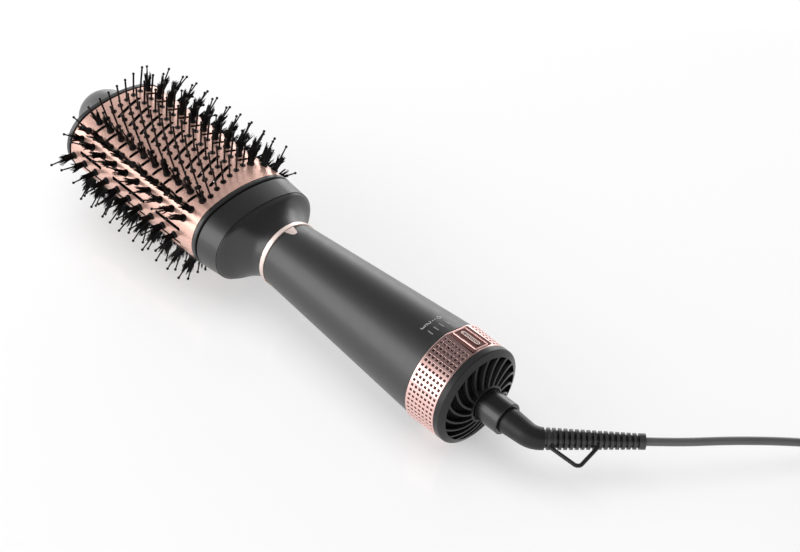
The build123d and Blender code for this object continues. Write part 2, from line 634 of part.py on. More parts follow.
def inlet_grille():
    """Rear cap: side band, dome with a swirl of ribs, hub for the cord boss, and a skirt."""
    edge_x, edge_r = DOME_EDGE
    slot_r = SLOT_R[1] + 0.8
    under = dome_x(slot_r, DOME_WALL)
    edge = ThreePointArc(REST_RIM, (0.45, CAP_R - 0.35), (edge_x, edge_r))
    dome = ThreePointArc((edge_x, edge_r), (dome_x(19), 19), (dome_x(9.4), 9.4))
    hub = Polyline((dome_x(9.4), 9.4), (5.5, 9.4), (5.5, 7.9), (3.9, 7.9), (3.9, 11.0),
                   (dome_x(11, DOME_WALL), 11.0))
    vault = ThreePointArc((dome_x(11, DOME_WALL), 11.0), (dome_x(18, DOME_WALL), 18), (under, slot_r))
    skirt = Polyline((under, slot_r), (-0.6, slot_r), (-0.6, 22.4), (-9.5, 22.4), (-9.5, 23.85), (CAP_X, 23.85),
                     (CAP_X, CAP_R), REST_RIM)
    return revolve(make_face([edge, dome, hub, vault, skirt]), Axis.X) - swirl_slots()


def intake_screen():
    sheet = dome_layer(23.2, 11.3, DOME_WALL + 0.05, DOME_WALL + 0.4)
    cutters = []
    for radius in (13.0, 16.0, 19.0, 21.9):
        count = round(2 * pi * radius / 3.0)
        cutters += around(rod(-4, 9, 1.1, 0, radius), count)
    return sheet.cut(*cutters)


# ---------------------------------------------------------------- cord boss and swivel
def cord_boss():
    return turned((-4, 5.65), (12, 5.65), (13, NECK_OF_ELBOW_R + 0.3), (BOSS_END_X, NECK_OF_ELBOW_R + 0.3),
                  (BOSS_END_X, BOSS_R - 0.4), (BOSS_END_X - 0.4, BOSS_R), (5.5, BOSS_R), (5.5, 7.85),
                  (-4, 7.85))


def boss_nut():
    flats = extrude(Plane.YZ.offset(0.9) * RegularPolygon(11.6, 6), 3)
    return (flats - rod(0, 5, 7.85)) & rod(0, 5, 10.8)


def elbow_sections():
    """Axis of the elbow: along the product's axis, round the corner, then along the relief."""
    turn = radians(RELIEF_TURN)
    drop = radians(RELIEF_DROP)
    along = Vector(cos(turn) * cos(drop), sin(turn) * cos(drop), -sin(drop))
    corner = Vector(CORNER_X, 0, 0)
    return corner, along


def swivel_elbow():
    corner, along = elbow_sections()
    stem = rod(-6.4, 14, STEM_R) + rod(13.2, 24, NECK_OF_ELBOW_R)
    stem = stem - rod(-5.2, -4.2, STEM_R + 1) + rod(-5.3, -4.1, STEM_R - 1.0)
    start = Vector(23.5, 0, 0)
    finish = corner + along * (RELIEF_START + 1.2)
    bend_r = 0.9 * (finish - corner).length / tan(radians(RELIEF_TURN) / 2)
    path = FilletPolyline(start, corner, finish, radius=bend_r)
    profiles = [Plane(origin=path @ 0, z_dir=path % 0) * Circle(NECK_OF_ELBOW_R),
                Plane(origin=path @ 1, z_dir=path % 1) * Circle(5.5)]
    bend = sweep(profiles, path=path, multisection=True)
    bore = FilletPolyline(Vector(-8, 0, 0), corner, corner + along * (RELIEF_START + 3), radius=bend_r)
    hollow = sweep(Plane(origin=bore @ 0, z_dir=bore % 0) * Circle(2.6), path=bore)
    return stem + bend - hollow


def swivel_clip():
    return tube(-5.15, -4.25, 7.4, STEM_R - 1.0) - block(-6, -4, -2, 2, 0, 9)


def relief_plane(s):
    """Plane across the relief at a distance s from its start."""
    corner, along = elbow_sections()
    across = (sin(radians(RELIEF_TURN)), -cos(radians(RELIEF_TURN)), 0)
    return Plane(origin=corner + along * (RELIEF_START + s), x_dir=across, z_dir=along)


def strain_relief():
    """Tapered sleeve: round fins on a thin core, two webs that join them, and an end collar."""
    root_r, tip_r = RELIEF_R
    start, root_end, thick_r = RELIEF_ROOT
    profile = [(RELIEF_BORE_R, start), (RELIEF_CORE_R, start)]
    for i in range(FIN_COUNT):
        s = FIN_START + FIN_PITCH * i
        r = root_r + (tip_r - root_r) * (i + 0.5) / FIN_COUNT
        profile += [(RELIEF_CORE_R, s), (r, s), (r, s + FIN_THICK), (RELIEF_CORE_R, s + FIN_THICK)]
    profile += [(RELIEF_CORE_R, RELIEF_COLLAR), (tip_r, RELIEF_COLLAR), (tip_r, RELIEF_LENGTH),
                (RELIEF_BORE_R, RELIEF_LENGTH)]
    body = revolve(Plane.XZ * make_face(Polyline(*profile, close=True)), Axis.Z)
    body += Pos(0, 0, (start + root_end) / 2) * Cylinder(thick_r, root_end - start)
    below = 1.2             # the webs stay this far under the fins' edges
    side = [(root_r - below, start), (tip_r - below, RELIEF_COLLAR + 0.5)]
    outline = make_face(Polyline(*side, *[(-r, s) for r, s in reversed(side)], close=True))
    web = Rot(0, 0, WEB_TURN) * extrude(Plane.XZ * outline, WEB_WIDTH / 2, both=True)
    bore = Pos(0, 0, RELIEF_LENGTH / 2) * Cylinder(RELIEF_BORE_R, RELIEF_LENGTH + 2)
    return relief_plane(0) * (body + web - bore)


def hanging_loop():
    """Triangular wire loop moulded to the relief."""
    path = FilletPolyline(*[(r, 0, s) for r, s in LOOP_POINTS], radius=2.5)
    wire = sweep(Plane(origin=path @ 0, z_dir=path % 0) * Circle(LOOP_WIRE_R), path=path)
    return relief_plane(0) * wire


# ---------------------------------------------------------------- the free cord, drawn on the table
def corner_radii(route):
    """Each corner's arc takes 0.45 of the shorter run beside it."""
    runs = [Vector(*b) - Vector(*a) for a, b in zip(route, route[1:])]
    return [0.45 * min(a.length, b.length) / tan(radians(a.get_angle(b)) / 2) for a, b in zip(runs, runs[1:])]


def cord(route):
    radii = corner_radii(route)
    path = FilletPolyline(*route, radius=radii)
    print("cord radii, mm:", [round(r) for r in radii], "length", round(path.length, 1))
    return sweep(Plane(origin=path @ 0, z_dir=path % 0) * Circle(CORD_R), path=path)


def coil_ring(inset):
    """Outer shape of the coil, or a smaller ring inside it."""
    slack = 0.1
    inner, outer = COIL_TURN_R[0] - CORD_R - slack, COIL_TURN_R[1] + CORD_R + slack
    height = 2 * CORD_R * COIL_LAYERS + slack
    section = RectangleRounded(outer - inner - 2 * inset, height - 2 * inset, CORD_R - inset)
    ring = revolve(Plane.XZ * Pos((inner + outer) / 2, height / 2) * section, Axis.Z)
    return Pos(*COIL_CENTRE, 0) * ring


def tie_room():
    """The stretch of the coil that the tie goes round."""
    reach = 40.0
    return Pos(COIL_CENTRE[0], COIL_CENTRE[1] - reach / 2, reach / 4) * Box(TIE_WIDTH, reach, reach)


def cord_tie():
    return (coil_ring(0) - coil_ring(TIE_THICK)) & tie_room()


def cord_coil():
    return coil_ring(0) - cord_tie()


def plug_plane(distance):
    """Plane across the plug at a distance from the end of the cord."""
    x, y, z = TAIL_ROUTE[-1]
    return Plane(origin=(x, y - distance, z), x_dir=(1, 0, 0), z_dir=(0, -1, 0))


def pin_places():
    return [Pos(side * PLUG_PIN_SPACING / 2, 0) for side in (-1, 1)]


def plug_body():
    """Flat two-pin plug: tapered relief, shoulder, and a body with rounded narrow sides."""
    shoulder = PLUG_RELIEF + PLUG_TAPER
    face = PLUG_RELIEF + PLUG_BODY
    relief = loft([plug_plane(0) * Circle(3.2), plug_plane(PLUG_RELIEF) * Circle(5.2)])
    outline = SlotOverall(*PLUG_FACE)
    taper = loft([plug_plane(PLUG_RELIEF - 0.5) * SlotOverall(17.0, 12.0), plug_plane(shoulder) * outline])
    body = extrude(plug_plane(shoulder) * outline, face - shoulder)
    body = chamfer(body.edges().group_by(Axis.Y)[0], 0.8)
    seats = [extrude(plug_plane(face - 4) * place * Circle(PLUG_SHANK_R), 5) for place in pin_places()]
    return (relief + taper + body).cut(*seats)


def plug_pins():
    """Round pins on narrower shanks, which are seated 4 mm deep in the body."""
    face = PLUG_RELIEF + PLUG_BODY
    step = face + PLUG_SHANK_OUT
    pins = []
    for place in pin_places():
        shank = extrude(plug_plane(face - 4) * place * Circle(PLUG_SHANK_R), step - face + 4.5)
        pin = extrude(plug_plane(step) * place * Circle(PLUG_PIN_R), PLUG_PIN_LENGTH - PLUG_SHANK_OUT)
        pins.append(shank + fillet(pin.edges().group_by(Axis.Y)[0], 1.4))
    return Compound(pins)


NODES = {
    "barrel_shell": barrel_shell,
    "top_pin_rows": lambda: Compound([face_row(y) for y in FACE_ROW_Y]),
    "bottom_pin_rows": lambda: Compound([half_turn(face_row(y)) for y in FACE_ROW_Y]),
    "near_bristle_rows": lambda: Compound([comb(stand(tuft_profile()), x, -a) for a, x in NEAR_ROWS]),
    "far_bristle_rows": lambda: Compound([half_turn(comb(stand(tuft_profile()), x, -a)) for a, x in NEAR_ROWS]),
    "end_cap": end_cap,
    "cool_tip": cool_tip,
    "tip_nut": tip_nut,
    "tie_rod": lambda: rod(END_CAP_X - 4.5, -171.2, TIE_ROD_R),
    "barrel_spider": barrel_spider,
    "head_collar": head_collar,
    "neck_flare": neck_flare,
    "collar_screws": collar_screws,
    "neck_trim_ring": neck_trim_ring,
    "handle_shell": handle_shell,
    "tick_marks": tick_marks,
    "heater_sleeve": heater_sleeve,
    "mica_board_upright": lambda: mica_board(True),
    "mica_board_flat": lambda: Rot(90, 0, 0) * mica_board(False),
    "heater_coil": heater_coil,
    "thermostat": thermostat,
    "thermal_fuse": thermal_fuse,
    "fan_shroud": fan_shroud,
    "motor_can": motor_can,
    "motor_end_bell": motor_end_bell,
    "motor_shaft": motor_shaft,
    "fan_wheel": fan_wheel,
    "rear_carrier": rear_carrier,
    "carrier_screws": carrier_screws,
    "selector_ring": selector_ring,
    "selector_pointer": selector_pointer,
    "selector_drum": selector_drum,
    "detent_spring": detent_spring,
    "control_board": control_board,
    "selector_switch": selector_switch,
    "capacitor": capacitor,
    "rectifier": rectifier,
    "ion_generator": ion_generator,
    "inlet_grille": inlet_grille,
    "intake_screen": intake_screen,
    "cord_boss": cord_boss,
    "boss_nut": boss_nut,
    "swivel_elbow": swivel_elbow,
    "swivel_clip": swivel_clip,
    "strain_relief": strain_relief,
    "hanging_loop": hanging_loop,
}
CORD_NODES = {
    "cord_tube": lambda: cord(LEAD_ROUTE),
    "cord_coil": cord_coil,
    "cord_tie": cord_tie,
    "cord_tail": lambda: cord(TAIL_ROUTE),
    "plug_body": plug_body,
    "plug_pins": plug_pins,
}


# ---------------------------------------------------------------- laid on the table
def lowest_tip(y):
    """x and y of the last ball tip of a lower face row."""
    place = surface(FACE_LAST_X + FACE_SKEW * y, row_angle(y))
    tip = place.origin + place.z_dir * pin_reach(y)
    return tip.X, -tip.Y


def lie_down():
    """Turn that sets the two outer pin rows and the rear cap's rim on one plane."""
    x_a, y_a = lowest_tip(FACE_ROW_Y[0])
    x_b, y_b = lowest_tip(FACE_ROW_Y[-1])
    lean = (x_a - x_b) / (y_a - y_b)
    rim_x, rim_r = REST_RIM
    tilt = atan2(PIN_PLANE - rim_r, rim_x - x_a + lean * y_a)
    roll = asin(lean * tan(tilt))
    return Rot(0, degrees(tilt), 0) * Rot(degrees(roll), 0, 0)


def main():
    os.makedirs("parts", exist_ok=True)
    product = {name: lie_down() * make() for name, make in NODES.items()}
    boxes = [shape.bounding_box() for shape in product.values()]
    low = [min(values) for values in zip(*(box.min for box in boxes))]
    high = [max(values) for values in zip(*(box.max for box in boxes))]
    # the origin is under the middle of the product's box, on the table
    move = Pos(-(low[0] + high[0]) / 2, -(low[1] + high[1]) / 2, -low[2])
    for name, shape in product.items():
        export_step(move * shape, f"parts/{name}.step")
    for name, make in CORD_NODES.items():
        export_step(make(), f"parts/{name}.step")


if __name__ == "__main__":
    main()
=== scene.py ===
import json
import random
from math import atan2, cos, degrees, exp, pi, radians, sin, sqrt

import bpy
from mathutils import Matrix, Vector

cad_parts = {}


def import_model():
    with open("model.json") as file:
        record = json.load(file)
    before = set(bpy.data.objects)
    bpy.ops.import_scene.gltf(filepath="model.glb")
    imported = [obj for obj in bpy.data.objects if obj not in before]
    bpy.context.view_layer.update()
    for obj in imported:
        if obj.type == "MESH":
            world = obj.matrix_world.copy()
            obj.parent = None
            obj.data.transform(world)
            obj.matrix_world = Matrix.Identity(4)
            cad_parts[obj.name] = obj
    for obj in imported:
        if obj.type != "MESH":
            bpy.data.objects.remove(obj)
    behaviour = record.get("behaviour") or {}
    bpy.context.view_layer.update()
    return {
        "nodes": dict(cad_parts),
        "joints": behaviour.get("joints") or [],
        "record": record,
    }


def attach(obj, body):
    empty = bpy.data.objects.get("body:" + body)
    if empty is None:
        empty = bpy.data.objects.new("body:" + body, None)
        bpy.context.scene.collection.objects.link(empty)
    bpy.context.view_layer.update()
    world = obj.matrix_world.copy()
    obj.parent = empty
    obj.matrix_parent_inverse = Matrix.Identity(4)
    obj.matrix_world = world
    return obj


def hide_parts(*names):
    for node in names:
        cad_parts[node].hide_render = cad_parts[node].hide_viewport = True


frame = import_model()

NODES = frame["nodes"]

# ---------------------------------------------------------------- the product's own frame
# X along the brush's axis from head to cord, Z square to the flat side, in millimetres. PRODUCT
# takes it to the table, where the brush lies on its pins and on the rear cap's rim.
AXIS = next(joint for joint in frame["joints"] if joint["name"] == "selector_turn")
TILT = 3.0776               # degrees
ROLL = 0.7393
PRODUCT = (Matrix.Translation(AXIS["pos_m"]) @ Matrix.Rotation(radians(TILT), 4, "Y")
           @ Matrix.Rotation(radians(ROLL), 4, "X") @ Matrix.Scale(0.001, 4))
HALF_TURN = Matrix.Rotation(pi, 4, "X")

BARREL_HALF_WIDTH = 34.8
BARREL_HALF_HEIGHT = 22.8
SIDE_ARC_FROM = 16.0        # degrees from +Z where the flat side's arc gives way to the narrow side's

HANDLE_X = (-139.1, -22.1)
HANDLE_R = (18.63, 26.86)
RING_X = (-21.85, -3.31)
RING_R = (27.8, 27.15)
RING_BORE_R = 25.85
RING_CHAMFER = 0.3
SELECTOR_REST = 13.5        # degrees from +Z towards +Y
SELECTOR_STEP = 8.0
FACET_HALF_ANGLE = 16.0
FACET_HEIGHT = RING_R[0] * cos(radians(FACET_HALF_ANGLE)) + 0.12


def arc_radii():
    """Radii of the flat side's arc and of the narrow side's, which meet with one tangent."""
    s = sin(radians(SIDE_ARC_FROM))
    c = cos(radians(SIDE_ARC_FROM))
    flat_r = (BARREL_HALF_HEIGHT - c * BARREL_HALF_WIDTH / (1 - s)) / ((1 - c) - c * s / (1 - s))
    return flat_r, (BARREL_HALF_WIDTH - flat_r * s) / (1 - s)


def surface(x, angle):
    """Place on the barrel, angle degrees from +Z towards +Y: X along the product, Z outwards."""
    flat_r, side_r = arc_radii()
    side = 1 if angle >= 0 else -1
    a = abs(angle)
    f = radians(a)
    if a <= SIDE_ARC_FROM:
        y, z = flat_r * sin(f), BARREL_HALF_HEIGHT - flat_r + flat_r * cos(f)
    elif a < 180 - SIDE_ARC_FROM:
        y, z = BARREL_HALF_WIDTH - side_r + side_r * sin(f), side_r * cos(f)
    else:
        y, z = flat_r * sin(f), flat_r - BARREL_HALF_HEIGHT + flat_r * cos(f)
    normal = Vector((0, side * sin(f), cos(f)))
    across = normal.cross(Vector((1, 0, 0)))
    turn = Matrix(((1, across.x, normal.x), (0, across.y, normal.y), (0, across.z, normal.z))).to_4x4()
    return Matrix.Translation((x, side * y, z)) @ turn


def cone_radius(x, span, radii):
    """Radius at x of a cone that has the two radii at the two ends of its span."""
    return radii[0] + (radii[1] - radii[0]) * (x - span[0]) / (span[1] - span[0])


# ---------------------------------------------------------------- mesh helpers
SMOOTH_BELOW = 35           # degrees between faces that still shade as one surface


def band_faces(rows, sides, closed=False):
    """Quads between rings of points that follow one another; closed joins the last to the first."""
    faces = []
    for row in range(rows if closed else rows - 1):
        here, there = row * sides, (row + 1) % rows * sides
        for k in range(sides):
            k2 = (k + 1) % sides
            faces.append((here + k, here + k2, there + k2, there + k))
    return faces


class Shape:
    """Vertices and faces gathered for one piece, in the product's frame."""

    def __init__(self):
        self.points = []
        self.faces = []

    def add(self, points, faces, place=Matrix.Identity(4)):
        start = len(self.points)
        self.points += [place @ Vector(p) for p in points]
        self.faces += [tuple(start + i for i in face) for face in faces]

    def box(self, size, place):
        a, b, c = (s / 2 for s in size)
        points = [(x, y, z) for x in (-a, a) for y in (-b, b) for z in (-c, c)]
        faces = [(0, 1, 3, 2), (4, 6, 7, 5), (0, 4, 5, 1), (2, 3, 7, 6), (0, 2, 6, 4), (1, 5, 7, 3)]
        self.add(points, faces, place)

    def turned(self, profile, sides, place):
        """Solid of revolution about the local Z from (radius, z) points, closed at both ends."""
        turns = [2 * pi * k / sides for k in range(sides)]
        points = [(radius * cos(a), radius * sin(a), z) for radius, z in profile for a in turns]
        last = len(profile) - 1
        ends = [tuple(range(sides))[::-1], tuple(range(last * sides, (last + 1) * sides))]
        self.add(points, ends + band_faces(len(profile), sides), place)

    def strand(self, path, radii, place):
        """Thin three-sided bristle along a few points."""
        turns = [2 * pi * k / 3 for k in range(3)]
        points = [(x + radius * cos(a), y + radius * sin(a), z) for (x, y, z), radius in zip(path, radii)
                  for a in turns]
        last = len(path) - 1
        self.add(points, [(last * 3, last * 3 + 1, last * 3 + 2)] + band_faces(len(path), 3), place)

    def piece(self, name, body, material, smooth_below=SMOOTH_BELOW):
        mesh = bpy.data.meshes.new(name)
        mesh.from_pydata([PRODUCT @ p for p in self.points], [], self.faces)
        mesh.update()
        mesh.shade_smooth()
        mesh.set_sharp_from_angle(angle=radians(smooth_below))
        return finish_piece(bpy.data.objects.new(name, mesh), body, material)


def coat(obj, material):
    obj.data.materials.clear()
    obj.data.materials.append(MATERIALS[material])


def finish_piece(obj, body, material):
    bpy.context.scene.collection.objects.link(obj)
    coat(obj, material)
    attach(obj, body)
    return obj


# ---------------------------------------------------------------- shader nodes
def node(tree, kind, feeds=None, **settings):
    """New node; feeds gives its sockets, by name or number, a value or the output that drives them."""
    made = tree.nodes.new("ShaderNode" + kind)
    for name, value in settings.items():
        setattr(made, name, value)
    for socket, source in (feeds or {}).items():
        if isinstance(source, bpy.types.NodeSocket):
            tree.links.new(source, made.inputs[socket])
        else:
            made.inputs[socket].default_value = source
    return made


def ramp(tree, share, stops):
    """Colour ramp between two stops, each a position and a colour."""
    made = node(tree, "ValToRGB", {"Fac": share})
    for element, (position, colour) in zip(made.color_ramp.elements, stops):
        element.position = position
        element.color = (*colour, 1)
    return made.outputs["Color"]


# ---------------------------------------------------------------- materials
def grained(name, colour, roughness, metallic=0.0, specular=0.5, tone=0.05, swing=0.06, cloud_scale=60.0,
            grain=0.0, grain_scale=4000.0):
    """Moulded or coated surface: clouded colour, uneven gloss and a grain of a given depth in metres."""
    material = bpy.data.materials.new(name)
    material.use_nodes = True
    tree = material.node_tree
    shader = tree.nodes["Principled BSDF"]
    shader.inputs["Metallic"].default_value = metallic
    shader.inputs["Specular IOR Level"].default_value = specular
    where = node(tree, "TexCoord").outputs["Object"]

    def noise(scale, detail):
        return node(tree, "TexNoise", {"Vector": where, "Scale": scale, "Detail": detail}).outputs["Fac"]

    darker = [c * (1 - tone) for c in colour]
    lighter = [min(1, c * (1 + tone)) for c in colour]
    tint = ramp(tree, noise(cloud_scale, 3.0), ((0.3, darker), (0.7, lighter)))
    tree.links.new(tint, shader.inputs["Base Color"])
    gloss = node(tree, "MapRange", {"Value": noise(cloud_scale * 4, 4.0), "To Min": max(0.0, roughness - swing),
                                    "To Max": min(1.0, roughness + swing)})
    tree.links.new(gloss.outputs["Result"], shader.inputs["Roughness"])
    if grain:
        bump = node(tree, "Bump", {"Strength": 1.0, "Distance": grain, "Height": noise(grain_scale, 2.0)})
        tree.links.new(bump.outputs["Normal"], shader.inputs["Normal"])
    return material


# linear colours; grain, the height of the surface's relief, in metres
FINISHES = {
    "barrel": dict(colour=(0.83, 0.515, 0.43), roughness=0.27, metallic=0.62, tone=0.03, swing=0.03,
                   grain=0.0000012, grain_scale=9000),
    "rose_gold_chrome": dict(colour=(0.88, 0.58, 0.54), roughness=0.09, metallic=1.0, tone=0.02, swing=0.02),
    "pointer_chrome": dict(colour=(0.86, 0.66, 0.62), roughness=0.10, metallic=1.0, tone=0.02, swing=0.02),
    "trim_gold": dict(colour=(0.93, 0.76, 0.70), roughness=0.16, metallic=0.75, tone=0.02, swing=0.02),
    "facet_brown": dict(colour=(0.11, 0.040, 0.034), roughness=0.2, metallic=0.7, swing=0.03),
    "pit_shadow": dict(colour=(0.018, 0.007, 0.006), roughness=0.4, metallic=0.2, tone=0.1, cloud_scale=300),
    "charcoal_plastic": dict(colour=(0.008, 0.008, 0.0082), roughness=0.30, specular=0.8, tone=0.06,
                             grain=0.000008),
    "cool_tip": dict(colour=(0.055, 0.055, 0.056), roughness=0.34, specular=1.0, grain=0.000008),
    "soft_touch_grip": dict(colour=(0.007, 0.007, 0.0072), roughness=0.34, specular=0.85, tone=0.06,
                            grain=0.00001),
    "gloss_black": dict(colour=(0.006, 0.006, 0.0062), roughness=0.2, specular=0.8, swing=0.03, grain=0.000004),
    "soft_black": dict(colour=(0.010, 0.010, 0.0103), roughness=0.38, specular=0.38, tone=0.08,
                       grain=0.000012, grain_scale=3000),
    "relief": dict(colour=(0.024, 0.024, 0.0245), roughness=0.36, specular=0.7, tone=0.06, grain=0.00001),
    "grey_grille": dict(colour=(0.018, 0.018, 0.0185), roughness=0.30, specular=0.35, grain=0.00001),
    "screen": dict(colour=(0.003, 0.003, 0.003), roughness=0.6, specular=0.15, tone=0.1),
    "black_nylon": dict(colour=(0.0015, 0.0015, 0.0016), roughness=0.16, specular=0.4, tone=0.1, swing=0.04),
    "black_bristle": dict(colour=(0.0018, 0.0018, 0.002), roughness=0.42, specular=0.25, tone=0.15, swing=0.08,
                          cloud_scale=400),
    "pale_print": dict(colour=(0.24, 0.24, 0.24), roughness=0.5),
    "white_ink": dict(colour=(0.45, 0.45, 0.44), roughness=0.5),
    "steel": dict(colour=(0.55, 0.55, 0.54), roughness=0.28, metallic=1.0),
    "nylon_inner": dict(colour=(0.012, 0.012, 0.013), roughness=0.55, tone=0.08, grain=0.00001),
    "mica": dict(colour=(0.52, 0.42, 0.26), roughness=0.45, tone=0.2, cloud_scale=500),
    "heating_wire": dict(colour=(0.30, 0.27, 0.25), roughness=0.35, metallic=1.0, tone=0.15, cloud_scale=800),
    "circuit_board": dict(colour=(0.02, 0.16, 0.05), roughness=0.35, tone=0.15, cloud_scale=700),
    "capacitor_yellow": dict(colour=(0.62, 0.38, 0.03), roughness=0.3),
    "cord_black": dict(colour=(0.080, 0.080, 0.081), roughness=0.32, specular=1.0, tone=0.08, grain=0.00001,
                       grain_scale=2500),
    "tie_black": dict(colour=(0.03, 0.03, 0.03), roughness=0.8, tone=0.3, grain=0.00008, grain_scale=1800,
                      cloud_scale=900),
    "plug_brass": dict(colour=(0.72, 0.70, 0.64), roughness=0.2, metallic=1.0, tone=0.04),
}
MATERIALS = {name: grained(name, **finish) for name, finish in FINISHES.items()}

# nodes whose finish differs from the rest of their slot
OWN_FINISH = {"barrel_shell": "barrel", "neck_trim_ring": "trim_gold", "cool_tip": "cool_tip",
              "strain_relief": "relief"}

BARREL_SHADE_FROM = 0.55     # cosine to the outward direction below which the barrel is painted black as shade, and above which it is bare metal
BARREL_SHADE_TO = 0.75       # and above which it is bare metal
# colour of the painted shade inside the barrel and on its openings' edges
BARREL_SHADE_COLOUR = (0.012, 0.008, 0.007)

CORD_EXIT = (0.19476, 0.03903, 0.0222)      # where the lead leaves the strain relief, in metres
CORD_HEADING = (0.682, 0.729, -0.055)
RELIEF_LENGTH = 49.7
FIN_START = 2.6
FIN_PITCH = 2.75
FIN_THICK = 1.45
SHADED_GAPS = (1.25, 16.0)    # from which fin to which, counted from the elbow, the gaps between fins are painted black as shade
# colour of the painted shade between the fins
RELIEF_SHADE_COLOUR = (0.002, 0.002, 0.002)


def coordinates(material):
    return next(made for made in material.node_tree.nodes if made.type == "TEX_COORD").outputs


def blacken(material, share, black):
    """Paints shade into a material's colour: mixes in black, all of it where share is 1."""
    tree = material.node_tree
    base = tree.nodes["Principled BSDF"].inputs["Base Color"]
    mix = node(tree, "Mix", {0: share}, data_type="RGBA")
    tint, dark = (socket for socket in mix.inputs if socket.type == "RGBA")
    tree.links.new(base.links[0].from_socket, tint)
    dark.default_value = (*black, 1)
    tree.links.new(next(socket for socket in mix.outputs if socket.type == "RGBA"), base)


def blacken_barrel(material):
    """Paints shade on the barrel: black on its inside and on the edges of its openings, which do not face
    outwards.
    """
    tree, where = material.node_tree, coordinates(material)
    home = PRODUCT.inverted()
    at_home = node(tree, "Mapping", {"Vector": where["Object"], "Location": home.to_translation(),
                                     "Rotation": home.to_euler(), "Scale": (1000, 1000, 1000)})
    across = node(tree, "VectorMath", {0: at_home.outputs["Vector"], 1: (0, 1, 1)}, operation="MULTIPLY")
    outwards = node(tree, "VectorMath", {0: across.outputs["Vector"]}, operation="NORMALIZE")
    facing = node(tree, "VectorMath", {0: outwards.outputs["Vector"], 1: where["Normal"]},
                  operation="DOT_PRODUCT")
    inside = node(tree, "MapRange", {"Value": facing.outputs["Value"], "From Min": BARREL_SHADE_FROM,
                                     "From Max": BARREL_SHADE_TO, "To Min": 1.0, "To Max": 0.0})
    blacken(material, inside.outputs["Result"], BARREL_SHADE_COLOUR)


def blacken_relief(material):
    """Paints shade on the strain relief: black between its fins."""
    tree = material.node_tree

    def maths(operation, *sources):
        return node(tree, "Math", dict(enumerate(sources)), operation=operation).outputs["Value"]

    from_end = node(tree, "VectorMath", {0: coordinates(material)["Object"], 1: CORD_EXIT}, operation="SUBTRACT")
    along = node(tree, "VectorMath", {0: from_end.outputs["Vector"], 1: CORD_HEADING}, operation="DOT_PRODUCT")
    fin = maths("MULTIPLY_ADD", along.outputs["Value"], 1000 / FIN_PITCH, (RELIEF_LENGTH - FIN_START) / FIN_PITCH)
    # painted shade in the gaps between the fins
    gap = maths("GREATER_THAN", maths("FRACT", fin), FIN_THICK / FIN_PITCH)
    gap = maths("MULTIPLY", gap, maths("GREATER_THAN", fin, SHADED_GAPS[0]))
    gap = maths("MULTIPLY", gap, maths("LESS_THAN", fin, SHADED_GAPS[1]))
    blacken(material, gap, RELIEF_SHADE_COLOUR)


def dress_cad_nodes():
    # painted shade: black inside the barrel and between the strain relief's fins
    blacken_barrel(MATERIALS["barrel"])
    blacken_relief(MATERIALS["relief"])
    for row in frame["record"]["subparts"]:
        coat(NODES[row["node"]], OWN_FINISH.get(row["node"], row["material_slot"]))


# ---------------------------------------------------------------- tufts
ROW_COUNT = 10
ROW_PITCH = 10.3
# degrees from +Z towards -Y, and X of the row's last tuft
NEAR_ROWS = ((17, -186.5), (38, -188.3), (55, -190.0), (90, -194.0),
             (132, -186.5), (147, -190.2), (165, -193.2))
STRIP_DEPTH = 1.0
STRIP_THICK = 1.2
STRIP_WIDTH = 3.4
STRIP_END = 2.2
TUFT_LENGTH = 11.7
TUFT_LEAN = 5               # degrees
KNOB = ((2.1, -STRIP_DEPTH - 0.3), (2.15, 0.4), (2.0, 1.0), (1.6, 1.35))
BUNDLE = ((1.3, 0.8), (1.25, TUFT_LENGTH * 0.25), (0.5, TUFT_LENGTH * 0.45))
CLUMPS = 6
CLUMP_WANDER = 0.3          # of the angle between two clumps
CLUMP_REACH = (1.0, 2.9)
CLUMP_HEIGHT = (0.68, 0.97)             # of TUFT_LENGTH
BRISTLES_PER_CLUMP = 9
BRISTLE_HEIGHT = (0.8, 1.0)             # of its clump's height
BRISTLE_ROOT_R = 1.5
BRISTLE_ROOT_Z = 0.6
BRISTLE_RADII = (0.26, 0.23, 0.09)
ROOT_SCATTER = 0.5          # radians
BEND_SCATTER = 0.1
TIP_SCATTER = 0.38
BEND_REACH = 0.4            # of the way from root to tip,
BEND_HEIGHT = 0.55          # and of the bristle's height
TUFT_PIN_LENGTH = 15.5
TUFT_PIN_R = 0.45
TUFT_PIN_LEAN = 8
BALL_R = 0.8
BALL_STEPS = (-52, -25, 0, 25, 50, 70, 88)


def tuft_pin_profile():
    """A shaft that thins from foot to ball, and the ball."""
    length, shaft_r = TUFT_PIN_LENGTH, TUFT_PIN_R
    ball_z = length - BALL_R
    ball = [(BALL_R * cos(radians(a)), ball_z + BALL_R * sin(radians(a))) for a in BALL_STEPS]
    return [(shaft_r * 1.25, 0.0), (shaft_r, length * 0.6), (shaft_r * 0.85, ball_z - BALL_R * 0.9)] + ball


def lean(draw, most):
    return (Matrix.Rotation(radians(draw.uniform(-most, most)), 4, "X")
            @ Matrix.Rotation(radians(draw.uniform(-most, most)), 4, "Y"))


